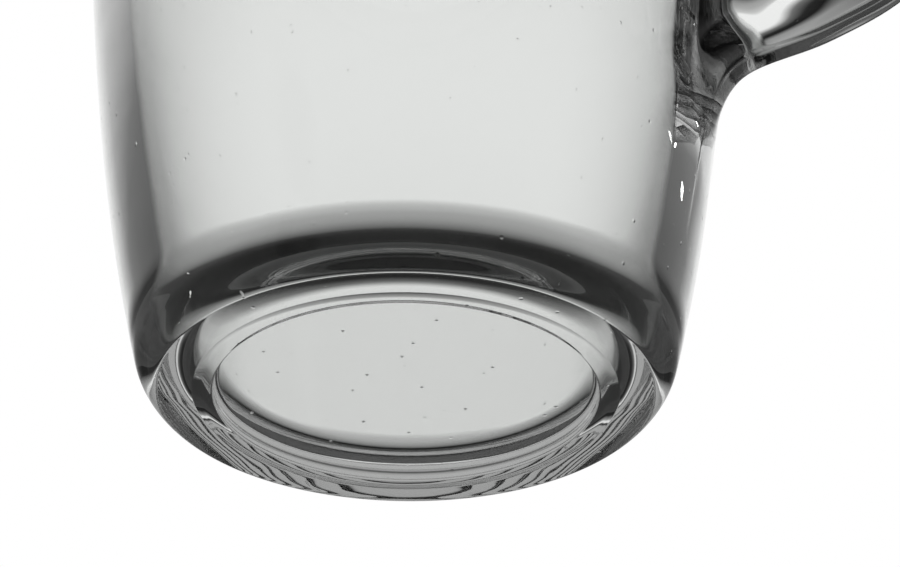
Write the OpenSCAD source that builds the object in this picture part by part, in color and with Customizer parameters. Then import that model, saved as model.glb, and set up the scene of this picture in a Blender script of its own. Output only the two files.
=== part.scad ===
// Clear glass coffee mug: a barrel-shaped bowl with a thick base, and a loop handle fused to its wall.
// Millimetres. The origin is the centre of the foot, +Z is up and the handle points along +X.

/* [Bowl] */
// Height from the foot to the rim
mug_h = 122; // [100:1:150]
// Outer diameter at the rim
rim_d = 80; // [76:0.5:90]
// Outer diameter where the wall meets the rounded heel
heel_d = 63.1; // [60:0.1:68]
// Height of the rounded heel
heel_h = 4.5; // [4:0.1:6]
// Slope of the wall just above the heel, sideways for each mm up
heel_slope = 0.22; // [0.15:0.01:0.3]
// Height over which the wall keeps that slope before it turns upright
flare_h = 18.3; // [10:0.1:30]
// Height below the rim over which the wall stands almost upright
upright_h = 73; // [50:0.5:80]
// Thickness of the wall just above the base
low_t = 5.4; // [4:0.1:6]
// Thickness of the wall at half height
wall_t = 4.3; // [3:0.1:5]
// Thickness of the rim, which is rounded over
rim_t = 3.2; // [2.4:0.1:4]

/* [Base] */
// Thickness of the glass between the recess and the inside
base_t = 3.85; // [3:0.05:8]
// Height over which the inside wall turns into the floor
floor_turn = 6.4; // [4:0.1:12]
// Diameter of the flat part of the floor
floor_d = 38; // [28:0.5:42]
// Diameter where the underside starts to turn up into the heel
foot_d = 56.6; // [53:0.1:58]
// Height of the underside outside the foot ring
foot_rise = 0.15; // [0.1:0.05:0.5]
// Diameter of the edge between the underside and the foot ring
ring_d = 49.4; // [48.5:0.1:52]
// Diameter of the recess inside the foot ring
recess_d = 44.5; // [40:0.1:46]
// Depth of the recess above the foot ring
recess_h = 1.6; // [1.2:0.1:2.4]
// Radius of the corner inside the recess
recess_r = 0.6; // [0.3:0.05:0.9]
// Radius of the foot ring's edge towards the recess
ring_r = 0.25; // [0.1:0.05:0.3]
// Flat width of the foot ring, which the mug stands on
ring_flat = 0.3; // [0.2:0.05:0.8]

/* [Handle] */
// Height at which the pointed tail of the handle leaves the wall
tail_z = 28; // [24:0.1:34]
// Height of the underside of the lower arm
arm_z = 40.8; // [38:0.1:46]
// Height at which the top of the handle meets the wall
top_z = 110; // [100:0.5:114]
// Room for the fingers between the wall and the grip
finger_gap = 22; // [18:0.5:30]
// Thickness of the grip, seen from the side
grip_t = 10.5; // [8:0.25:13]
// Width of the grip, seen along the handle
grip_w = 9.5; // [8:0.5:16]
// Width of the two roots at the wall
root_w = 13; // [10:0.5:20]
// How far a root's flanks sweep out to each side where they run into the wall
root_sweep = 3.5; // [1:0.25:5]

/* [Hidden] */
$fn = 96;
wall_steps = 48;
turn_steps = 16;
rail_steps = 4;
rib_points = 24;
seat_steps = 4;
// Roundness of a rib along the grip and at a root: lower powers are squarer
grip_up = 0.6;
grip_side = 0.5;
root_up = 0.9;
root_side = 0.8;
// How quickly a root turns square, and a power that makes a blunter keel when it is higher
square_power = 8;
keel_power = 3.4;
// How quickly the sweep of a root fades along the handle
sweep_power = 4;

rim_r = rim_d / 2;
heel_r = heel_d / 2;
heel_z = foot_rise + heel_h;
floor_z = recess_h + base_t;
rim_z = mug_h - rim_t / 2;
rim_slope = 0.006;
// How far each end of the heel and of the floor's turn keeps its direction, as a share of its run
heel_flat = 0.15;
heel_upright = 0.59;
turn_upright = 0.7;
turn_flat = 0.71;

// Point at t on a cubic curve with four control points
function cubic(p, t) =
    pow(1 - t, 3) * p[0] + 3 * pow(1 - t, 2) * t * p[1] + 3 * (1 - t) * t * t * p[2] + pow(t, 3) * p[3];
function cubic_run(p, steps) = [for (i = [0:steps]) cubic(p, i / steps)];
// Points on an arc about c, in degrees
function arc(c, r, from, to, steps) =
    [for (i = [0:steps]) let (a = from + (to - from) * i / steps) c + r * [cos(a), sin(a)]];
function mix(a, b, t) = a + (b - a) * t;

// Outer wall from the heel to the rim: it flares quickly at first and stands almost upright at the rim
wall_curve = [
    [heel_r, heel_z],
    [heel_r + heel_slope * flare_h, heel_z + flare_h],
    [rim_r - rim_slope * upright_h, rim_z - upright_h],
    [rim_r, rim_z]
];
wall_points = cubic_run(wall_curve, wall_steps);
function wall_r(z) = lookup(z, [for (p = wall_points) [p[1], p[0]]]);

// Rounded heel from the underside up to the wall
heel_curve = [
    [foot_d / 2, foot_rise],
    [mix(foot_d / 2, heel_r, heel_flat), foot_rise],
    [heel_r - heel_slope * heel_h * heel_upright, heel_z - heel_h * heel_upright],
    [heel_r, heel_z]
];

// Inside wall: the outer wall less its thickness, which thins from the base up to the rim
function wall_at(z) = lookup(z, [[turn_z, low_t], [mug_h / 2, wall_t], [rim_z, rim_t]]);
turn_z = floor_z + floor_turn;
inside_points = [
    for (i = [wall_steps:-1:0])
        let (p = wall_points[i])
        if (p[1] > turn_z + 1) [p[0] - wall_at(p[1]), p[1]]
];
turn_r = wall_r(turn_z) - wall_at(turn_z);
turn_slope = wall_r(turn_z + 1) - wall_r(turn_z);
floor_curve = [
    [turn_r, turn_z],
    [turn_r - turn_slope * floor_turn * turn_upright, turn_z - floor_turn * turn_upright],
    [mix(floor_d / 2, turn_r, turn_flat), floor_z],
    [floor_d / 2, floor_z]
];

// Underside: recess, its corner, the foot ring and the flat part outside it
ring_in = recess_d / 2 + ring_r;
ring_curve = [
    [ring_in + ring_flat, 0],
    [mix(ring_in + ring_flat, ring_d / 2, 0.6), 0],
    [mix(ring_in + ring_flat, ring_d / 2, 0.8), foot_rise / 2],
    [ring_d / 2, foot_rise]
];
underside = concat(
    [[0, recess_h]],
    arc([recess_d / 2 - recess_r, recess_h - recess_r], recess_r, 90, 0, turn_steps / 2),
    arc([ring_in, ring_r], ring_r, 180, 270, turn_steps / 2),
    cubic_run(ring_curve, turn_steps / 2)
);
outside = concat(
    cubic_run(heel_curve, turn_steps),
    [for (i = [1:wall_steps]) wall_points[i]]
);
rim = arc([rim_r - rim_t / 2, rim_z], rim_t / 2, 0, 180, turn_steps);

// Two rails that the handle runs between, from the lower root to the upper one:
// its outer edge, and the edge towards the fingers.
grip_in = rim_r + finger_gap;
grip_out = grip_in + grip_t;
mid_z = (arm_z + top_z) / 2 - 3;
arm_top = arm_z + grip_t;
under_top = top_z - 1.35 * grip_t;
outer_rail = [
    [wall_r(tail_z), tail_z],
    [wall_r(tail_z) + 4, mix(tail_z, arm_z, 0.75)],
    [mix(wall_r(arm_z), grip_out, 0.38), arm_z],
    [mix(wall_r(arm_z), grip_out, 0.67), arm_z + 0.48 * grip_t],
    [grip_out - 2.6, mix(arm_z, mid_z, 0.5)],
    [grip_out, mid_z],
    [grip_out - 3, mix(mid_z, top_z, 0.43)],
    [mix(wall_r(top_z), grip_out, 0.63), mix(mid_z, top_z, 0.8)],
    [mix(wall_r(top_z), grip_out, 0.25), top_z - 3],
    [wall_r(top_z), top_z]
];
inner_rail = [
    [wall_r(arm_top), arm_top - 1],
    [wall_r(arm_top) + 4, arm_top - 3.2],
    [mix(wall_r(arm_top), grip_in, 0.5), arm_top],
    [mix(wall_r(arm_top), grip_in, 0.8), arm_top + 3.4],
    [grip_in - 1, mix(arm_top, mid_z, 0.55)],
    [grip_in, mid_z + 0.5],
    [grip_in - 2, mix(mid_z, under_top, 0.48)],
    [mix(wall_r(under_top), grip_in, 0.63), mix(mid_z, under_top, 0.86)],
    [mix(wall_r(under_top), grip_in, 0.3), under_top - 0.5],
    [wall_r(under_top), under_top - 4]
];
// Share of the way from the grip's width to the root's width, and how far the underside draws in to a keel
spread = [1, 0.7, 0.4, 0.15, 0, 0, 0, 0.15, 0.5, 0.9];
keel = [0.92, 0.1, 0, 0, 0, 0, 0, 0, 0.05, 0.15];

spans = len(outer_rail) - 1;

// Value at place s along a list, smooth through every entry
function along(list, s) =
    let (
        n = len(list),
        i = min(floor(s), n - 2),
        t = s - i,
        a = list[max(i - 1, 0)],
        b = list[i],
        c = list[i + 1],
        d = list[min(i + 2, n - 1)]
    )
    0.5 * (2 * b + (c - a) * t + (2 * a - 5 * b + 4 * c - d) * t * t + (3 * b - a - 3 * c + d) * pow(t, 3));
// One rib of the handle: a rounded section between the rails, drawn in to a keel on the outer side.
// Near the roots its flanks wrap back round the wall.
function rib(s) =
    let (
        out = along(outer_rail, s),
        in = along(inner_rail, s),
        root = along(spread, s),
        sweep = root_sweep * pow(max(0, 1 - min(s, spans - s)), sweep_power),
        half_w = mix(grip_w, root_w, root) / 2 + sweep,
        k = along(keel, s),
        round = pow(max(0, root), square_power),
        up_power = mix(grip_up, root_up, round),
        side_power = mix(grip_side, root_side, round)
    )
    [for (j = [0:rib_points - 1])
        let (
            a = 360 * j / rib_points,
            up = sign(sin(a)) * pow(abs(sin(a)), up_power),
            side = sign(cos(a)) * pow(abs(cos(a)), side_power),
            y = half_w * side * (1 - k * pow(max(0, -up), keel_power)),
            c = mix(out, in, (1 + up) / 2)
        )
        [c[0] - root * y * y / rim_d, y, c[1]]
    ];

// The bowl: one turned profile, from the underside over the wall and rim to the floor inside
module bowl() {
    color("gainsboro", 0.5)
        rotate_extrude()
            polygon(concat(underside, outside, rim, inside_points, cubic_run(floor_curve, turn_steps), [[0, floor_z]]));
}

// Point on the outer wall at a distance y from the handle's middle plane
function on_wall(y, z) = [sqrt(pow(wall_r(z), 2) - y * y), y, z];
// A rib pressed on to the wall and drawn in to a share t of its size, for the fused face of a root
function seat(r, t) =
    let (middle_z = (min([for (p = r) p[2]]) + max([for (p = r) p[2]])) / 2)
    [for (p = r) on_wall(t * p[1], mix(middle_z, p[2], t))];

// A skin over a row of ribs, closed by a fan to the middle point at each end
module skin(ribs, first, last) {
    m = len(ribs[0]);
    rows = len(ribs);
    at = function(i, j) 1 + i * m + j % m;
    polyhedron(
        points = concat([first], [for (r = ribs) each r], [last]),
        faces = [for (j = [0:m - 1]) each concat(
            [[0, at(0, j), at(0, j + 1)]],
            [for (i = [0:rows - 2]) each [
                [at(i, j), at(i + 1, j), at(i, j + 1)],
                [at(i, j + 1), at(i + 1, j), at(i + 1, j + 1)]
            ]],
            [[rows * m + 1, at(rows - 1, j + 1), at(rows - 1, j)]]
        )]
    );
}

// The handle: a loop that swells into a pointed lower root and a broad upper root, both seated on the wall
module handle() {
    low = rib(0);
    high = rib(spans);
    shares = [for (i = [1:seat_steps]) i / seat_steps];
    ribs = concat(
        [for (t = shares) seat(low, t)],
        [for (i = [1:spans * rail_steps - 1]) rib(i / rail_steps)],
        [for (i = [seat_steps - 1:-1:0]) seat(high, shares[i])]
    );
    color("gainsboro", 0.5)
        skin(ribs, seat(low, 0)[0], seat(high, 0)[0]);
}

bowl();
handle();
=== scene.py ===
"""A clear pressed-glass coffee mug: the looks of its bowl and handle, modelled round the fixed frame."""
import math

import bmesh
import bpy
from bpy.props import FloatProperty, FloatVectorProperty, PointerProperty
from mathutils import Matrix, Vector


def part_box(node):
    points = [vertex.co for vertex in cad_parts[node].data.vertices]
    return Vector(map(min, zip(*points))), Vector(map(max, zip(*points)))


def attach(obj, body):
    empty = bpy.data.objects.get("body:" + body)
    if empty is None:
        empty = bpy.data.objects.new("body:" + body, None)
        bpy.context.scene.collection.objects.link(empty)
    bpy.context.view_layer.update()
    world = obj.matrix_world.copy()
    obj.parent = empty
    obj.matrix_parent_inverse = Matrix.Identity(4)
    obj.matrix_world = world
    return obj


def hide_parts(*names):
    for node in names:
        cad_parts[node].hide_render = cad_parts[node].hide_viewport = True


bl_info = {
    "name": "Glass coffee mug",
    "version": (1, 0, 0),
    "blender": (4, 5, 0),
    "location": "3D View > Sidebar > Mug",
    "description": "Models a pressed-glass mug with a fused handle, and a plain studio round it",
    "category": "Object",
}

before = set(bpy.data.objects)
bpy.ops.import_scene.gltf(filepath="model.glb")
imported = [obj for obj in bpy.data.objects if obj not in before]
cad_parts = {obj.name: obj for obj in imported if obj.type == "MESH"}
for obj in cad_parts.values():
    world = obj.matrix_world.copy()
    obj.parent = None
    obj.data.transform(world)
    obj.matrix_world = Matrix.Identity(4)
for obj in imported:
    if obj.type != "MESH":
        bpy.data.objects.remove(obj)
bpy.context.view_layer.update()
BOWL_LOW, BOWL_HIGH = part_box("bowl")
HANDLE_LOW, HANDLE_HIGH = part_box("handle")

MM = 0.001
# Columns round the bowl and points round a rib of the handle, before smoothing
COLUMNS = 96
RIB_POINTS = 48
# Rings of the handle from root to root
RINGS = 56
SMOOTH_LEVELS = 1
# An opening for a root is this many columns to each side of the handle, and this many rows high
ROOT_COLUMNS = 6
ROOT_ROWS = 12
# Rows of the inside wall as shares of its height from the rim, closer together at both ends
INSIDE_ROWS = (0.006, 0.02, 0.06, 0.14, 0.23, 0.32, 0.41, 0.5, 0.59, 0.68, 0.77, 0.85, 0.92, 0.965, 0.99)
# How far each end of the heel and of the floor's turn keeps its direction, as a share of its run
HEEL_FLAT, HEEL_UPRIGHT = 0.15, 0.59
TURN_UPRIGHT, TURN_FLAT = 0.7, 0.71
# Rounds in which a curve's cage is fitted, and halvings in which a height is looked up on the wall
FIT_ROUNDS, HALVINGS = 24, 40
# Columns to each side of the handle in which the cage is evened out, and how often
RELAX_COLUMNS, RELAX_ROUNDS = 13, 30
# The seam fades out over this height below the tail, and is looked for this near to the middle plane and the wall
SEAM_FADE, SEAM_REACH, SEAM_DEPTH = 12 * MM, 2 * MM, 0.5 * MM
# The floor lies just below the foot, so that the two don't touch
FLOOR_DROP = 0.05 * MM
SENSOR_WIDTH = 36
CLIP_NEAR, CLIP_FAR = 0.01, 100
GLASS_BOUNCES, CLEAR_BOUNCES = 40, 24


def linear(code):
    """Linear colour of an sRGB hex code such as 'd8dcda'."""
    shares = [int(code[i:i + 2], 16) / 255 for i in (0, 2, 4)]
    return [s / 12.92 if s <= 0.04045 else ((s + 0.055) / 1.055) ** 2.4 for s in shares]


class BowlSizes(bpy.types.PropertyGroup):
    height: FloatProperty(
        name="Height", description="Foot to rim", default=BOWL_HIGH[2] - BOWL_LOW[2], unit="LENGTH")
    rim_width: FloatProperty(
        name="Rim", description="Outer width at the rim", default=BOWL_HIGH[0] - BOWL_LOW[0], unit="LENGTH")
    heel_width: FloatProperty(
        name="Heel", description="Outer width above the rounded heel", default=63.1 * MM, unit="LENGTH")
    heel_height: FloatProperty(
        name="Heel height", description="Height of the rounded heel", default=4.5 * MM, unit="LENGTH")
    heel_slope: FloatProperty(
        name="Heel slope", description="Sideways run of the wall above the heel, for each unit up", default=0.22)
    flare: FloatProperty(
        name="Flare", description="Height over which the wall keeps that slope", default=18.3 * MM, unit="LENGTH")
    upright: FloatProperty(
        name="Upright", description="Height below the rim that is almost upright", default=73 * MM, unit="LENGTH")
    low_wall: FloatProperty(
        name="Low wall", description="Thickness of the wall just above the base", default=5.4 * MM, unit="LENGTH")
    wall: FloatProperty(
        name="Wall", description="Thickness of the wall at half height", default=4.3 * MM, unit="LENGTH")
    rim_wall: FloatProperty(
        name="Rim wall", description="Thickness of the rounded rim", default=3.2 * MM, unit="LENGTH")


class BaseSizes(bpy.types.PropertyGroup):
    floor_height: FloatProperty(
        name="Floor", description="Height of the inside floor", default=5.45 * MM, unit="LENGTH")
    floor_width: FloatProperty(
        name="Flat floor", description="Width of the flat part of the floor", default=38 * MM, unit="LENGTH")
    turn: FloatProperty(
        name="Turn", description="Height of the turn from floor to wall", default=6.4 * MM, unit="LENGTH")
    foot_width: FloatProperty(
        name="Foot", description="Width where the underside turns up", default=57.4 * MM, unit="LENGTH")
    foot_rise: FloatProperty(
        name="Foot rise", description="Underside above the foot ring", default=0.15 * MM, unit="LENGTH")
    foot_dish: FloatProperty(
        name="Foot dish", description="Further rise of the underside from the ring out to the heel", default=0.3 * MM,
        unit="LENGTH")
    ring_width: FloatProperty(
        name="Ring", description="Outer width of the foot ring", default=49.4 * MM, unit="LENGTH")
    ring_flat: FloatProperty(
        name="Ring flat", description="Flat width of the foot ring", default=0.3 * MM, unit="LENGTH")
    recess_width: FloatProperty(
        name="Recess", description="Width of the recess in the foot", default=44.5 * MM, unit="LENGTH")
    recess_depth: FloatProperty(
        name="Recess depth", description="Depth of the recess", default=1.6 * MM, unit="LENGTH")
    recess_corner: FloatProperty(
        name="Recess corner", description="Radius inside the recess", default=0.6 * MM, unit="LENGTH")
    ring_edge: FloatProperty(
        name="Ring edge", description="Rounding of the foot ring towards the recess", default=0.25 * MM,
        unit="LENGTH")


class HandleSizes(bpy.types.PropertyGroup):
    tail: FloatProperty(
        name="Tail", description="Height of the pointed lower root", default=HANDLE_LOW[2], unit="LENGTH")
    arm: FloatProperty(
        name="Arm", description="Height of the underside of the lower arm", default=40.8 * MM, unit="LENGTH")
    top: FloatProperty(
        name="Top", description="Height of the upper root", default=HANDLE_HIGH[2], unit="LENGTH")
    grip_out: FloatProperty(
        name="Reach", description="Outer edge of the grip from the axis", default=HANDLE_HIGH[0], unit="LENGTH")
    grip_thickness: FloatProperty(
        name="Grip", description="Thickness of the grip", default=10.5 * MM, unit="LENGTH")
    grip_width: FloatProperty(
        name="Grip width", description="Width of the grip", default=9.5 * MM, unit="LENGTH")
    root_width: FloatProperty(
        name="Root width", description="Width of the roots", default=13 * MM, unit="LENGTH")
    root_sweep: FloatProperty(
        name="Root sweep", description="How far a root's flanks sweep out where they run into the wall",
        default=3.5 * MM, unit="LENGTH")
    seam_height: FloatProperty(
        name="Seam height", description="Height of the mould seam", default=0.12 * MM, unit="LENGTH")
    seam_width: FloatProperty(
        name="Seam width", description="Half width of the mould seam", default=0.3 * MM, unit="LENGTH")


class GlassLook(bpy.types.PropertyGroup):
    tint: FloatVectorProperty(
        name="Tint", description="What one wall of the glass lets through", subtype="COLOR", default=linear("f4f5f4"))
    ior: FloatProperty(
        name="IOR", description="Refractive index of soda-lime glass", default=1.52)
    mould_wave: FloatProperty(
        name="Mould wave", description="Size of the slow waves on the outside", default=9 * MM, unit="LENGTH")
    mould_depth: FloatProperty(
        name="Mould depth", description="Depth of the waves on the outside", default=0.003 * MM, unit="LENGTH")
    plunger_wave: FloatProperty(
        name="Plunger wave", description="Size of the waves that the plunger leaves inside", default=5 * MM,
        unit="LENGTH")
    plunger_depth: FloatProperty(
        name="Plunger depth", description="Depth of the waves inside", default=0.004 * MM, unit="LENGTH")
    seed_spacing: FloatProperty(
        name="Seed spacing", description="Distance between the small bubbles", default=4 * MM, unit="LENGTH")
    seed_size: FloatProperty(
        name="Seed size", description="Radius of a small bubble", default=0.3 * MM, unit="LENGTH")
    seed_height: FloatProperty(
        name="Seed height", description="How far a bubble lifts the surface", default=0.03 * MM, unit="LENGTH")


class StageLook(bpy.types.PropertyGroup):
    floor: FloatVectorProperty(
        name="Floor", description="Colour of the floor", subtype="COLOR", default=linear("545454"))
    floor_radius: FloatProperty(
        name="Floor radius", description="Radius of the floor", default=20.0, unit="LENGTH")
    ambient: FloatProperty(
        name="Ambient", description="Strength of the even light from all round", default=0.75)
    piped_depth: FloatProperty(
        name="Piped depth", description="Surfaces met in the glass after which the light counts as mixed", default=6.5)
    window_turn: FloatProperty(
        name="Window turn", description="Turn from the camera to the window", default=math.radians(126),
        unit="ROTATION")
    window_rise: FloatProperty(
        name="Window rise", description="Height of the window above the horizon", default=math.radians(22),
        unit="ROTATION")
    window_distance: FloatProperty(
        name="Window distance", description="Mug to window", default=1.2, unit="LENGTH")
    window_width: FloatProperty(
        name="Window width", description="Width of the window", default=40 * MM, unit="LENGTH")
    window_height: FloatProperty(
        name="Window height", description="Height of the window", default=10 * MM, unit="LENGTH")
    window_light: FloatProperty(
        name="Window light", description="Brightness of the window", default=30)
    lens: FloatProperty(
        name="Lens", description="Focal length", default=240.2 * MM, unit="LENGTH")
    distance: FloatProperty(
        name="Distance", description="Camera to the point it looks at", default=0.7, unit="LENGTH")
    azimuth: FloatProperty(
        name="Azimuth", description="Turn of the camera round the mug", default=math.radians(17), unit="ROTATION")
    elevation: FloatProperty(
        name="Elevation", description="Height of the camera, from below", default=math.radians(-28.3),
        unit="ROTATION")
    roll: FloatProperty(
        name="Roll", description="Tilt of the picture", default=0.008, unit="ROTATION")
    aim_right: FloatProperty(
        name="Aim right", description="Look point, to the right of the axis", default=5.0 * MM, unit="LENGTH")
    aim_up: FloatProperty(
        name="Aim up", description="Look point, above the foot", default=14.6 * MM, unit="LENGTH")


class MugSettings(bpy.types.PropertyGroup):
    bowl: PointerProperty(type=BowlSizes)
    base: PointerProperty(type=BaseSizes)
    handle: PointerProperty(type=HandleSizes)
    glass: PointerProperty(type=GlassLook)
    stage: PointerProperty(type=StageLook)


def blend(a, b, t):
    return a + (b - a) * t


def spaced(start, stop, steps):
    """Even steps from start, without the last one."""
    return [blend(start, stop, i / steps) for i in range(steps)]


def eased(start, stop, shares):
    """Points at the given shares of the way."""
    return [blend(start, stop, share) for share in shares]


def through(points):
    """Cage points that make the smoothed curve pass through the given ones. Both ends are on the axis."""
    cage = [p.copy() for p in points]
    for _ in range(FIT_ROUNDS):
        before = [Vector((-cage[1].x, cage[1].y))] + cage[:-1]
        after = cage[1:] + [Vector((-cage[-2].x, cage[-2].y))]
        cage = [c + p - (a + 4 * c + b) / 6 for a, b, c, p in zip(before, after, cage, points)]
    return cage


def bezier(ends, t):
    u = 1 - t
    return ends[0] * u ** 3 + ends[1] * (3 * u * u * t) + ends[2] * (3 * u * t * t) + ends[3] * t ** 3


def bezier_run(ends, steps):
    return [bezier(ends, i / steps) for i in range(steps + 1)]


def arc(centre, radius, start, stop, steps):
    """Points on an arc, between two angles in degrees."""
    angles = [math.radians(blend(start, stop, i / steps)) for i in range(steps + 1)]
    return [centre + radius * Vector((math.cos(a), math.sin(a))) for a in angles]


def along(values, s):
    """Value at place s along a list, smooth through every entry."""
    last = len(values) - 1
    i = min(int(s), last - 1)
    t = s - i
    a, b, c, d = values[max(i - 1, 0)], values[i], values[i + 1], values[min(i + 2, last)]
    return 0.5 * (
        2 * b + (c - a) * t + (2 * a - 5 * b + 4 * c - d) * t ** 2 + (3 * b - a - 3 * c + d) * t ** 3)


class Wall:
    """Outer wall of the bowl from the heel to the rim, as a curve of radius and height."""

    RIM_SLOPE = 0.006

    def __init__(self, bowl, base):
        heel = Vector((bowl.heel_width / 2, base.foot_rise + bowl.heel_height))
        rim = Vector((bowl.rim_width / 2, bowl.height - bowl.rim_wall / 2))
        flared = heel + bowl.flare * Vector((bowl.heel_slope, 1))
        upright = rim - bowl.upright * Vector((self.RIM_SLOPE, 1))
        self.curve = (heel, flared, upright, rim)
        self.heel = heel
        self.rim = rim

    def radius(self, z):
        low, high = 0.0, 1.0
        for _ in range(HALVINGS):
            middle = (low + high) / 2
            if bezier(self.curve, middle).y < z:
                low = middle
            else:
                high = middle
        return bezier(self.curve, low).x

    def point(self, y, z):
        """Point on the wall at a distance y from the handle's middle plane."""
        return Vector((math.sqrt(self.radius(z) ** 2 - y * y), y, z))


class Loop:
    """The handle: two rails from the lower root to the upper one, and ribs between them."""

    # Share of the way from the grip's width to the root's width, and how far the outer side draws in to a keel
    SPREAD = (1, 0.7, 0.4, 0.15, 0, 0, 0, 0.15, 0.5, 0.9)
    KEEL = (0.92, 0.1, 0, 0, 0, 0, 0, 0, 0.05, 0.15)
    # Roundness of a rib, along the grip and at the roots: lower powers are squarer
    UP_POWERS, SIDE_POWERS, KEEL_POWER, SWEEP_POWER = (0.6, 0.9), (0.5, 0.8), 3.4, 4

    def __init__(self, wall, handle):
        self.wall = wall
        self.handle = handle
        out = handle.grip_out
        inner = out - handle.grip_thickness
        thick = handle.grip_thickness
        middle = (handle.arm + handle.top) / 2 - 3 * MM
        arm_top = handle.arm + thick
        under_top = handle.top - 1.35 * thick
        tail_r, arm_r, arm_top_r = wall.radius(handle.tail), wall.radius(handle.arm), wall.radius(arm_top)
        top_r, under_r = wall.radius(handle.top), wall.radius(under_top)
        self.outer = [Vector(p) for p in (
            (tail_r, handle.tail),
            (tail_r + 4 * MM, blend(handle.tail, handle.arm, 0.75)),
            (blend(arm_r, out, 0.38), handle.arm),
            (blend(arm_r, out, 0.67), handle.arm + 0.48 * thick),
            (out - 2.6 * MM, blend(handle.arm, middle, 0.5)),
            (out, middle),
            (out - 3 * MM, blend(middle, handle.top, 0.43)),
            (blend(top_r, out, 0.63), blend(middle, handle.top, 0.8)),
            (blend(top_r, out, 0.25), handle.top - 3 * MM),
            (top_r, handle.top),
        )]
        self.inner = [Vector(p) for p in (
            (arm_top_r, arm_top - 1 * MM),
            (arm_top_r + 4 * MM, arm_top - 3.2 * MM),
            (blend(arm_top_r, inner, 0.5), arm_top),
            (blend(arm_top_r, inner, 0.8), arm_top + 3.4 * MM),
            (inner - 1 * MM, blend(arm_top, middle, 0.55)),
            (inner, middle + 0.5 * MM),
            (inner - 2 * MM, blend(middle, under_top, 0.48)),
            (blend(under_r, inner, 0.63), blend(middle, under_top, 0.86)),
            (blend(under_r, inner, 0.3), under_top - 0.5 * MM),
            (under_r, under_top - 4 * MM),
        )]
        self.spans = len(self.outer) - 1

    def rib(self, s):
        """Points round the handle at place s, from the outer edge round by +Y. The flanks wrap round the wall."""
        out, inner, root = along(self.outer, s), along(self.inner, s), along(self.SPREAD, s)
        sweep = self.handle.root_sweep * max(0, 1 - min(s, self.spans - s)) ** self.SWEEP_POWER
        half = blend(self.handle.grip_width, self.handle.root_width, root) / 2 + sweep
        keel = along(self.KEEL, s)
        up_power, side_power = (blend(*powers, max(0, root) ** 8) for powers in (self.UP_POWERS, self.SIDE_POWERS))
        points = []
        for k in range(RIB_POINTS):
            a = 2 * math.pi * k / RIB_POINTS - math.pi / 2
            up = math.copysign(abs(math.sin(a)) ** up_power, math.sin(a))
            side = math.copysign(abs(math.cos(a)) ** side_power, math.cos(a))
            y = half * side * (1 - keel * max(0, -up) ** self.KEEL_POWER)
            middle = blend(out, inner, (1 + up) / 2)
            points.append(Vector((middle.x - root * y * y / (2 * self.wall.rim.x), y, middle.y)))
        return points

    def seat(self, s):
        """The rib at place s, pressed on to the wall."""
        return [self.wall.point(p.y, p.z) for p in self.rib(s)]

    def heights(self, s):
        """Lowest and highest point of the root at place s."""
        zs = [p.z for p in self.rib(s)]
        return min(zs), max(zs)


def halved(points):
    """One step of smoothing along a profile that starts and ends on the axis: each of its sides is halved."""
    mirror = Vector((-1, 1))
    ends = [points[1] * mirror] + points + [points[-2] * mirror]
    made = []
    for before, point, after in zip(ends, points, ends[2:]):
        made += [(before + 6 * point + after) / 8, (point + after) / 2]
    return made[:-1]


def bowl_profile(bowl, base, wall, rows):
    """Half section from the middle of the recess, round the foot, wall and rim, to the middle of the floor.

    Returns its points and the place in them of the first wall row.
    """
    deep, corner, half = base.recess_depth, base.recess_corner, base.recess_width / 2
    edge = base.ring_edge
    ring_in = half + edge
    ring_out = base.ring_width / 2
    flat_end = ring_in + base.ring_flat
    ring = (
        Vector((flat_end, 0)),
        Vector((blend(flat_end, ring_out, 0.6), 0)),
        Vector((blend(flat_end, ring_out, 0.8), base.foot_rise / 2)),
        Vector((ring_out, base.foot_rise)),
    )
    middle = Vector((0, deep))
    underside = [middle] + eased(middle, Vector((half - corner, deep)), (0.4, 0.7, 0.87, 0.95, 0.985))
    underside += arc(Vector((half - corner, deep - corner)), corner, 90, 0, 4)
    underside += eased(underside[-1], Vector((half, edge)), (0.5, 0.85))
    underside += arc(Vector((ring_in, edge)), edge, 180, 270, 3)
    underside += [bezier(ring, t) for t in (0, 0.3, 0.6, 0.85, 1)]

    foot = Vector((base.foot_width / 2, base.foot_rise + base.foot_dish))
    heel = (
        foot,
        Vector((blend(foot.x, wall.heel.x, HEEL_FLAT), foot.y + HEEL_FLAT * base.foot_dish)),
        wall.heel - HEEL_UPRIGHT * bowl.heel_height * Vector((bowl.heel_slope, 1)),
        wall.heel,
    )
    underside += eased(ring[-1], heel[0], (0.04, 0.15, 0.4, 0.75, 0.93))
    underside += bezier_run(heel, 10)[:-1]

    outside = [Vector((wall.radius(z), z)) for z in rows]
    rim = arc(wall.rim - Vector((bowl.rim_wall / 2, 0)), bowl.rim_wall / 2, 0, 180, 8)

    turn_z = base.floor_height + base.turn
    middle_z = bowl.height / 2

    def inside(z):
        if z < middle_z:
            thick = blend(bowl.low_wall, bowl.wall, (z - turn_z) / (middle_z - turn_z))
        else:
            thick = blend(bowl.wall, bowl.rim_wall, (z - middle_z) / (wall.rim.y - middle_z))
        return Vector((wall.radius(z) - thick, z))

    turn_start = inside(turn_z)
    slope = (inside(turn_z + MM) - turn_start) / MM
    flat = Vector((base.floor_width / 2, base.floor_height))
    turn = (
        turn_start,
        turn_start - TURN_UPRIGHT * base.turn * slope,
        Vector((blend(flat.x, turn_start.x, TURN_FLAT), flat.y)),
        flat,
    )
    inner = [inside(z) for z in eased(wall.rim.y, turn_z, INSIDE_ROWS)]
    floor = eased(flat, Vector((0, flat.y)), (0.06, 0.15, 0.3, 0.55, 1))
    points = underside + outside + rim[1:] + inner + bezier_run(turn, 15) + floor
    return halved(through(points)), 2 * len(underside)


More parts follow.
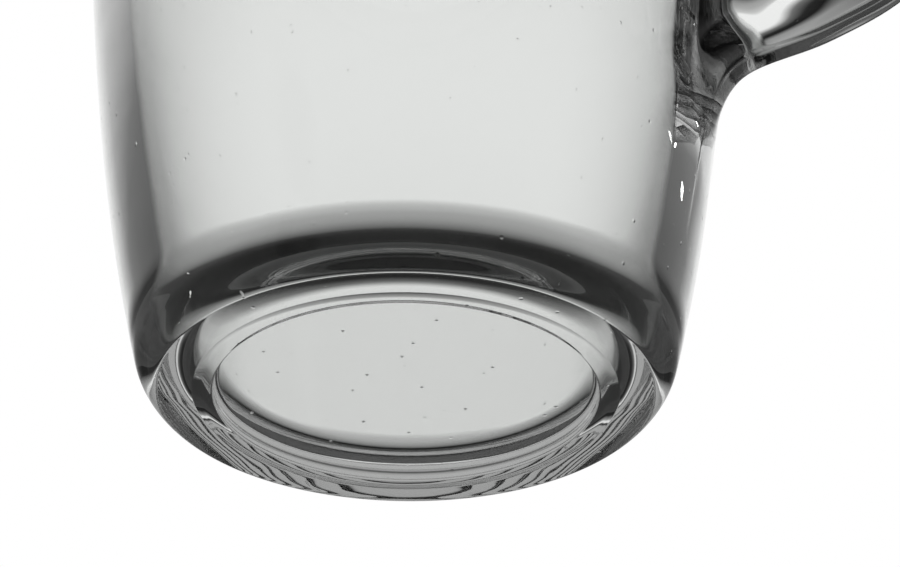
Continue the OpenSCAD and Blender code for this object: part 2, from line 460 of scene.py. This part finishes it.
def wall_rows(wall, loop):
    """Heights of the rows of the outer wall, and the first row of each root's opening in the halved profile."""
    low_bottom, low_top = loop.heights(0)
    high_bottom, high_top = loop.heights(loop.spans)
    rows = eased(wall.heel.y, low_bottom, (0, 0.03, 0.09, 0.22, 0.45, 0.72))
    low_row = len(rows)
    rows += spaced(low_bottom, low_top, ROOT_ROWS // 2) + spaced(low_top, high_bottom, 5)
    high_row = len(rows)
    rows += spaced(high_bottom, high_top, ROOT_ROWS // 2)
    rows += eased(high_top, wall.rim.y, (0, 0.35, 0.65, 0.85, 0.95, 1))
    return rows, 2 * low_row, 2 * high_row


def rib_places(spans):
    """Places of the handle's rings, closer together near the roots."""
    for i in range(1, RINGS):
        t = i / RINGS
        yield spans * blend(t, (1 - math.cos(math.pi * t)) / 2, 0.5)


def open_root(bm, row_layer, first_row, from_top, seat):
    """Cuts a root's opening in the wall and shapes its edge to the seat. Returns the edge's vertices in rib order."""
    step = 2 * math.pi / COLUMNS
    column = {}
    for v in bm.verts:
        row = v[row_layer] - 1 - first_row
        place = round(math.atan2(v.co.y, v.co.x) / step)
        if 0 <= row <= ROOT_ROWS and v[row_layer] > 0 and abs(place) <= ROOT_COLUMNS:
            column[v] = (place, ROOT_ROWS - row if from_top else row)
    faces = [f for f in bm.faces if all(v in column for v in f.verts)]
    edge = {}
    for v, (place, row) in column.items():
        if row == 0:
            k = abs(place)
        elif row == ROOT_ROWS:
            k = RIB_POINTS // 2 - abs(place)
        elif abs(place) == ROOT_COLUMNS:
            k = ROOT_COLUMNS + row
        else:
            continue
        edge[k if place >= 0 else RIB_POINTS - k] = v
    bmesh.ops.delete(bm, geom=faces, context="FACES")
    ring = [edge[k] for k in range(RIB_POINTS)]
    for v, point in zip(ring, seat):
        v.co = point
    return ring


def ring_edges(bm, ring):
    return [bm.edges.get((a, b)) for a, b in zip(ring, ring[1:] + ring[:1])]


def next_ring(bm, ring, points):
    """Extrudes a ring of edges, and moves the new ring to the points."""
    made = bmesh.ops.extrude_edge_only(bm, edges=ring_edges(bm, ring))["geom"]
    fresh = {v for v in made if isinstance(v, bmesh.types.BMVert)}
    new_ring = [next(e.other_vert(v) for e in v.link_edges if e.other_vert(v) in fresh) for v in ring]
    for v, point in zip(new_ring, points):
        v.co = point
    for face in made:
        if isinstance(face, bmesh.types.BMFace):
            face.material_index = 1
    return new_ring


def relax_wall(bm, row_layer, fixed, wall):
    """Evens out the wall's cage round the openings, and presses it back to the wall's radius."""
    reach = RELAX_COLUMNS * 2 * math.pi / COLUMNS
    last_row = max(v[row_layer] for v in bm.verts)
    near = [
        v for v in bm.verts
        if 2 < v[row_layer] < last_row and v not in fixed and abs(math.atan2(v.co.y, v.co.x)) < reach]
    for _ in range(RELAX_ROUNDS):
        bmesh.ops.smooth_vert(bm, verts=near, factor=0.5, use_axis_x=True, use_axis_y=True, use_axis_z=True)
        for v in near:
            flat = Vector((v.co.x, v.co.y))
            v.co.x, v.co.y = flat.normalized() * wall.radius(v.co.z)


def glass_cage(mug):
    """Cage of the whole glass: the bowl is turned, opened at the two roots, and the handle drawn between them."""
    wall = Wall(mug.bowl, mug.base)
    loop = Loop(wall, mug.handle)
    rows, low_row, high_row = wall_rows(wall, loop)
    points, first = bowl_profile(mug.bowl, mug.base, wall, rows)

    bm = bmesh.new()
    row_layer = bm.verts.layers.int.new("row")
    half = [bm.verts.new((p.x, 0, p.y)) for p in points]
    for i in range(2 * len(rows) - 1):
        half[first + i][row_layer] = i + 1
    edges = [bm.edges.new(pair) for pair in zip(half, half[1:])]
    bmesh.ops.spin(
        bm, geom=half + edges, cent=(0, 0, 0), axis=(0, 0, 1), angle=2 * math.pi, steps=COLUMNS,
        use_merge=True, use_duplicate=False)
    bmesh.ops.remove_doubles(bm, verts=bm.verts, dist=0.001 * MM)

    low = open_root(bm, row_layer, low_row, False, loop.seat(0))
    high = open_root(bm, row_layer, high_row, True, loop.seat(loop.spans))
    relax_wall(bm, row_layer, set(low + high), wall)
    # Smoothing draws a ring of columns in by this share
    swell = 3 / (2 + math.cos(2 * math.pi / COLUMNS))
    bmesh.ops.scale(bm, vec=(swell, swell, 1), verts=bm.verts)

    ring = low
    rib_swell = 3 / (2 + math.cos(2 * math.pi / RIB_POINTS))
    for s in rib_places(loop.spans):
        rib = loop.rib(s)
        middle = sum(rib, Vector()) / RIB_POINTS
        ring = next_ring(bm, ring, [middle + (p - middle) * rib_swell for p in rib])
    joined = bmesh.ops.bridge_loops(bm, edges=ring_edges(bm, ring) + ring_edges(bm, high))
    for face in joined["faces"]:
        face.material_index = 1
    bmesh.ops.recalc_face_normals(bm, faces=bm.faces)
    return bm, wall


def smoothed(bm):
    """The cage with its subdivision surface applied."""
    cage = bpy.data.meshes.new("glass_cage")
    marks = [bpy.data.materials.new(name) for name in ("bowl", "handle")]
    for material in marks:
        cage.materials.append(material)
    bm.to_mesh(cage)
    bm.free()
    holder = bpy.data.objects.new("glass_cage", cage)
    bpy.context.scene.collection.objects.link(holder)
    smooth = holder.modifiers.new("smooth", "SUBSURF")
    smooth.levels = smooth.render_levels = SMOOTH_LEVELS
    done = bpy.data.meshes.new_from_object(holder.evaluated_get(bpy.context.evaluated_depsgraph_get()))
    bm = bmesh.new()
    bm.from_mesh(done)
    bpy.data.objects.remove(holder)
    for mesh in (cage, done):
        bpy.data.meshes.remove(mesh)
    for material in marks:
        bpy.data.materials.remove(material)
    return bm


def raise_seam(bm, handle, wall):
    """Raises the mould seam along the handle's middle plane and down the wall below its tail."""
    low = handle.tail - SEAM_FADE

    def on_seam(face):
        middle = face.calc_center_median()
        if abs(middle.y) > SEAM_REACH or middle.x < 0:
            return False
        below_tail = low < middle.z < handle.tail + SEAM_REACH
        outside = math.hypot(middle.x, middle.y) > wall.radius(middle.z) - SEAM_DEPTH
        return face.material_index == 1 or (below_tail and outside)

    for y in (-handle.seam_width, handle.seam_width):
        faces = [f for f in bm.faces if on_seam(f)]
        geom = faces + list({e for f in faces for e in f.edges}) + list({v for f in faces for v in f.verts})
        bmesh.ops.bisect_plane(bm, geom=geom, dist=0.0001 * MM, plane_co=(0, y, 0), plane_no=(0, 1, 0))
    bm.normal_update()
    ridge = {v for f in bm.faces if on_seam(f) for v in f.verts if abs(v.co.y) < 0.01 * MM}
    for v in ridge:
        share = min(1, max(0, (v.co.z - low) / SEAM_FADE))
        v.co += v.normal * handle.seam_height * share


def cap_roots(bm):
    """Closes both pieces where they are fused. The caps get material index 2."""
    shared = [e for e in bm.edges if len({f.material_index for f in e.link_faces}) == 2]
    caps = bmesh.ops.edgeloop_fill(bm, edges=shared, mat_nr=2)["faces"]
    bmesh.ops.triangulate(bm, faces=caps)


def piece_mesh(bm, name, index, materials, is_inside):
    """One closed piece: its own faces and the caps. It keeps the shading of the fused glass."""
    part = bm.copy()
    other = [f for f in part.faces if f.material_index not in (index, 2)]
    bmesh.ops.delete(part, geom=other, context="FACES")
    bmesh.ops.recalc_face_normals(part, faces=part.faces)
    for face in part.faces:
        if face.material_index == 2:
            face.material_index = 1
        else:
            face.material_index = 2 if is_inside(face.calc_center_median()) else 0
        face.smooth = True
    shading = part.verts.layers.float_vector["fused_normal"]
    normals = [v[shading].copy() for v in part.verts]
    mesh = bpy.data.meshes.new(name)
    part.to_mesh(mesh)
    part.free()
    for material in materials:
        mesh.materials.append(material)
    mesh.attributes.remove(mesh.attributes["fused_normal"])
    corners = []
    for face in mesh.polygons:
        for corner in face.loop_indices:
            own = normals[mesh.loops[corner].vertex_index]
            corners.append(face.normal if face.material_index == 1 else own)
    mesh.normals_split_custom_set(corners)
    return mesh


def add(tree, kind, settings=None, sockets=None, links=None):
    """Adds a node, sets its fields and sockets, and links its inputs."""
    node = tree.nodes.new(kind)
    for name, value in (settings or {}).items():
        setattr(node, name, value)
    for name, value in (sockets or {}).items():
        node.inputs[name].default_value = value
    for name, source in (links or {}).items():
        tree.links.new(source, node.inputs[name])
    return node


def new_material(name):
    material = bpy.data.materials.new(name)
    material.use_nodes = True
    material.node_tree.nodes.clear()
    return material, material.node_tree


def pressed_glass(look, name, wave_size, wave_depth):
    """Soda-lime glass, pressed and fire-polished: clear and bright, with slow waves and a few small bubbles."""
    material, tree = new_material(name)
    place = add(tree, "ShaderNodeTexCoord")
    wave = add(
        tree, "ShaderNodeTexNoise", {}, {"Scale": 1 / wave_size, "Detail": 2.0, "Roughness": 0.45},
        {"Vector": place.outputs["Object"]})
    waved = add(
        tree, "ShaderNodeBump", {}, {"Strength": 1.0, "Distance": wave_depth}, {"Height": wave.outputs["Fac"]})
    cell = add(
        tree, "ShaderNodeTexVoronoi", {}, {"Scale": 1 / look.seed_spacing}, {"Vector": place.outputs["Object"]})
    seed = add(
        tree, "ShaderNodeMapRange", {"interpolation_type": "SMOOTHSTEP"},
        {"From Min": look.seed_size / look.seed_spacing, "From Max": 0.0}, {"Value": cell.outputs["Distance"]})
    seeded = add(
        tree, "ShaderNodeBump", {}, {"Strength": 1.0, "Distance": look.seed_height},
        {"Height": seed.outputs["Result"], "Normal": waved.outputs["Normal"]})
    glass = add(
        tree, "ShaderNodeBsdfPrincipled", {},
        {"Base Color": (*look.tint, 1), "Transmission Weight": 1.0, "IOR": look.ior, "Roughness": 0.0},
        {"Normal": seeded.outputs["Normal"]})
    add(tree, "ShaderNodeOutputMaterial", {}, {}, {"Surface": glass.outputs["BSDF"]})
    return material


def fused_joint():
    """Glass fused to glass: light passes straight on, so the joint can't be seen."""
    material, tree = new_material("fused_glass_joint")
    glass = add(
        tree, "ShaderNodeBsdfPrincipled", {}, {
            "Base Color": (1, 1, 1, 1), "Transmission Weight": 1.0, "IOR": 1.0, "Roughness": 0.0,
            "Specular IOR Level": 0.0})
    add(tree, "ShaderNodeOutputMaterial", {}, {}, {"Surface": glass.outputs["BSDF"]})
    return material


class MUG_OT_glass(bpy.types.Operator):
    """Models the bowl and the handle that is fused to its wall, as two closed pieces"""

    bl_idname = "mug.glass"
    bl_label = "Bowl and handle"

    def execute(self, context):
        mug = context.scene.mug
        cage, wall = glass_cage(mug)
        fused = smoothed(cage)
        raise_seam(fused, mug.handle, wall)
        fused.normal_update()
        shading = fused.verts.layers.float_vector.new("fused_normal")
        for v in fused.verts:
            v[shading] = v.normal
        cap_roots(fused)
        look = mug.glass
        materials = [
            pressed_glass(look, "pressed_soda_lime_glass", look.mould_wave, look.mould_depth), fused_joint(),
            pressed_glass(look, "plunger_side_glass", look.plunger_wave, look.plunger_depth)]
        middle_z = (mug.base.recess_depth + mug.base.floor_height) / 2

        def is_inside(place):
            within = wall.radius(place.z) - mug.bowl.rim_wall / 2
            return place.z > middle_z and math.hypot(place.x, place.y) < within

        for index, node in enumerate(("bowl", "handle")):
            mesh = piece_mesh(fused, node + "_glass", index, materials, is_inside)
            piece = bpy.data.objects.new(node + "_glass", mesh)
            context.scene.collection.objects.link(piece)
            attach(piece, "root")
            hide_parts(node)
        fused.free()
        return {"FINISHED"}


# What the studio shows at each height above the horizon, in degrees. A white backdrop stands behind the mug and thins
# out beside it, and the rest of the room is dim, which gives clear glass its dark edges
BEHIND = (
    (-90, 0.01), (7, 0.01), (9, 0.03), (10.5, 0.16), (13, 0.26), (16, 0.36), (20, 0.45), (23, 0.62), (24.2, 0.8),
    (24.8, 1), (31.6, 1), (33, 0.75), (36, 0.18), (40, 0.02), (43, 0.01), (48, 0.34), (60, 0.45), (90, 0.3))
BESIDE = (
    (-90, 0.02), (10, 0.02), (12.5, 0.05), (16, 0.08), (22, 0.18), (28, 0.72), (32, 0.7), (36, 0.4), (40, 0.12),
    (43, 0.02), (48, 0.04), (60, 0.35), (90, 0.1))
ROOM = (
    (-90, 0.02), (0, 0.08), (6, 0.25), (10, 0.45), (16, 0.45), (22, 0.1), (28, 0.18), (32, 0.52), (36, 0.4),
    (40, 0.1), (60, 0.1), (90, 0.06))
# Light that is piped along inside the glass comes mostly from above, through the rim
PIPED = ((-90, 0.05), (0, 0.08), (25, 0.12), (42, 0.42), (90, 0.46))
# Turns away from the backdrop's middle, in degrees, over which one gives way to the next
TO_BESIDE = (6, 25)
TO_ROOM = (50, 100)


def by_height(tree, height, stops):
    """Brightness from a table of heights above the horizon."""
    ramp = add(tree, "ShaderNodeValToRGB", {}, {}, {"Fac": height})
    elements = ramp.color_ramp.elements
    for i, (degrees, value) in enumerate(stops):
        place = (math.sin(math.radians(degrees)) + 1) / 2
        element = elements[i] if i < 2 else elements.new(place)
        element.position = place
        element.color = (value, value, value, 1)
    return ramp.outputs["Color"]


def studio_world(stage):
    """A white backdrop in a dim room, the same to camera, gloss and glass, and even light for matt surfaces.

    Light that is piped along inside the glass, from surface to surface, gets a smoother room.
    """
    world = bpy.data.worlds.new("studio")
    world.use_nodes = True
    tree = world.node_tree
    tree.nodes.clear()
    place = add(tree, "ShaderNodeTexCoord")
    axes = add(tree, "ShaderNodeSeparateXYZ", {}, {}, {"Vector": place.outputs["Generated"]})
    height = add(
        tree, "ShaderNodeMapRange", {}, {"From Min": -1.0, "From Max": 1.0}, {"Value": axes.outputs["Z"]})
    far_side = (-math.sin(stage.azimuth), math.cos(stage.azimuth), 0)
    right_side = (math.cos(stage.azimuth), math.sin(stage.azimuth), 0)
    ahead, across = (
        add(tree, "ShaderNodeVectorMath", {"operation": "DOT_PRODUCT"}, {1: side}, {0: place.outputs["Generated"]})
        for side in (far_side, right_side))
    off = add(tree, "ShaderNodeMath", {"operation": "ABSOLUTE"}, {}, {0: across.outputs["Value"]})
    turn = add(
        tree, "ShaderNodeMath", {"operation": "ARCTAN2"}, {}, {0: off.outputs["Value"], 1: ahead.outputs["Value"]})

    def shown(stops):
        colour = by_height(tree, height.outputs["Result"], stops)
        return add(tree, "ShaderNodeBackground", {}, {}, {"Color": colour}).outputs["Background"]

    def turned(span, near, far):
        share = add(
            tree, "ShaderNodeMapRange", {},
            {"From Min": math.radians(span[0]), "From Max": math.radians(span[1])}, {"Value": turn.outputs["Value"]})
        return add(tree, "ShaderNodeMixShader", {}, {}, {0: share.outputs["Result"], 1: near, 2: far}).outputs["Shader"]

    studio = turned(TO_ROOM, turned(TO_BESIDE, shown(BEHIND), shown(BESIDE)), shown(ROOM))
    path = add(tree, "ShaderNodeLightPath")
    piped = add(
        tree, "ShaderNodeMath", {"operation": "GREATER_THAN"}, {1: stage.piped_depth}, {0: path.outputs["Ray Depth"]})
    studio = add(
        tree, "ShaderNodeMixShader", {}, {},
        {0: piped.outputs["Value"], 1: studio, 2: shown(PIPED)}).outputs["Shader"]
    glassy = add(
        tree, "ShaderNodeMath", {"operation": "MAXIMUM"}, {},
        {0: path.outputs["Is Transmission Ray"], 1: path.outputs["Is Glossy Ray"]})
    looking = add(
        tree, "ShaderNodeMath", {"operation": "MAXIMUM"}, {},
        {0: path.outputs["Is Camera Ray"], 1: glassy.outputs["Value"]})
    even = add(tree, "ShaderNodeBackground", {}, {"Color": (1, 1, 1, 1), "Strength": stage.ambient})
    seen = add(
        tree, "ShaderNodeMixShader", {}, {},
        {0: looking.outputs["Value"], 1: even.outputs["Background"], 2: studio})
    add(tree, "ShaderNodeOutputWorld", {}, {}, {"Surface": seen.outputs["Shader"]})
    return world


def floor_board(stage):
    """Matt board, seen from above only, so that the mug can be looked at from below."""
    material, tree = new_material("matt_board")
    place = add(tree, "ShaderNodeNewGeometry")
    board = add(tree, "ShaderNodeBsdfDiffuse", {}, {"Color": (*stage.floor, 1)})
    clear = add(tree, "ShaderNodeBsdfTransparent")
    shown = add(
        tree, "ShaderNodeMixShader", {}, {},
        {0: place.outputs["Backfacing"], 1: board.outputs["BSDF"], 2: clear.outputs["BSDF"]})
    add(tree, "ShaderNodeOutputMaterial", {}, {}, {"Surface": shown.outputs["Shader"]})
    return material


def camera_matrix(stage):
    """Camera on a sphere round its look point, on the middle axis of the mug."""
    turn, rise = stage.azimuth, stage.elevation
    back = Vector((math.sin(turn) * math.cos(rise), -math.cos(turn) * math.cos(rise), math.sin(rise)))
    right = Vector((math.cos(turn), math.sin(turn), 0))
    up = back.cross(right)
    aim = stage.aim_right * right + Vector((0, 0, stage.aim_up))
    level = Matrix((right, up, back)).transposed().to_4x4()
    return Matrix.Translation(aim + stage.distance * back) @ level @ Matrix.Rotation(stage.roll, 4, "Z")


def window_lamp(stage):
    """Small bright window to one side, which gives the glass its highlights."""
    lamp = bpy.data.lights.new("window", "AREA")
    lamp.shape = "RECTANGLE"
    lamp.size, lamp.size_y = stage.window_width, stage.window_height
    lamp.energy = stage.window_light * math.pi * lamp.size * lamp.size_y
    turn, rise = stage.azimuth + stage.window_turn, stage.window_rise
    back = Vector((math.sin(turn) * math.cos(rise), -math.cos(turn) * math.cos(rise), math.sin(rise)))
    window = bpy.data.objects.new("window", lamp)
    facing = back.to_track_quat("Z", "Y").to_matrix().to_4x4()
    window.matrix_world = Matrix.Translation(stage.window_distance * back) @ facing
    return window


class MUG_OT_stage(bpy.types.Operator):
    """Adds the floor, the studio light and the camera"""

    bl_idname = "mug.stage"
    bl_label = "Stage"

    def execute(self, context):
        scene = context.scene
        stage = scene.mug.stage
        bm = bmesh.new()
        bmesh.ops.create_circle(
            bm, cap_ends=True, segments=128, radius=stage.floor_radius,
            matrix=Matrix.Translation((0, 0, -FLOOR_DROP)))
        mesh = bpy.data.meshes.new("floor")
        bm.to_mesh(mesh)
        bm.free()
        mesh.materials.append(floor_board(stage))
        floor = bpy.data.objects.new("floor", mesh)
        scene.collection.objects.link(floor)
        scene.collection.objects.link(window_lamp(stage))
        scene.world = studio_world(stage)

        lens = bpy.data.cameras.new("camera")
        lens.sensor_width = SENSOR_WIDTH
        lens.lens = stage.lens / MM
        lens.clip_start, lens.clip_end = CLIP_NEAR, CLIP_FAR
        camera = bpy.data.objects.new("camera", lens)
        camera.matrix_world = camera_matrix(stage)
        scene.collection.objects.link(camera)
        scene.camera = camera

        # Thick glass needs many turns of a ray, and its shadow on the floor stays a plain one
        cycles = scene.cycles
        cycles.max_bounces = cycles.transmission_bounces = cycles.glossy_bounces = GLASS_BOUNCES
        cycles.transparent_max_bounces = CLEAR_BOUNCES
        cycles.caustics_refractive = cycles.caustics_reflective = False
        scene.view_settings.view_transform = "Standard"
        return {"FINISHED"}


class MUG_PT_panel(bpy.types.Panel):
    """Lists the mug's sizes and looks"""

    bl_idname = "MUG_PT_panel"
    bl_label = "Glass mug"
    bl_space_type = "VIEW_3D"
    bl_region_type = "UI"
    bl_category = "Mug"

    def draw(self, context):
        mug = context.scene.mug
        for title, group in (
                ("Bowl", mug.bowl), ("Base", mug.base), ("Handle", mug.handle), ("Glass", mug.glass),
                ("Stage", mug.stage)):
            box = self.layout.box()
            box.label(text=title)
            for name in group.__annotations__:
                box.prop(group, name)
        for operator in (MUG_OT_glass, MUG_OT_stage):
            self.layout.operator(operator.bl_idname)


CLASSES = (
    BowlSizes, BaseSizes, HandleSizes, GlassLook, StageLook, MugSettings, MUG_OT_glass, MUG_OT_stage, MUG_PT_panel)


def register():
    for cls in CLASSES:
        bpy.utils.register_class(cls)
    bpy.types.Scene.mug = PointerProperty(type=MugSettings)


def unregister():
    del bpy.types.Scene.mug
    for cls in reversed(CLASSES):
        bpy.utils.unregister_class(cls)


def main():
    register()
    bpy.ops.mug.glass()
    bpy.ops.mug.stage()


if __name__ == "__main__":
    main()
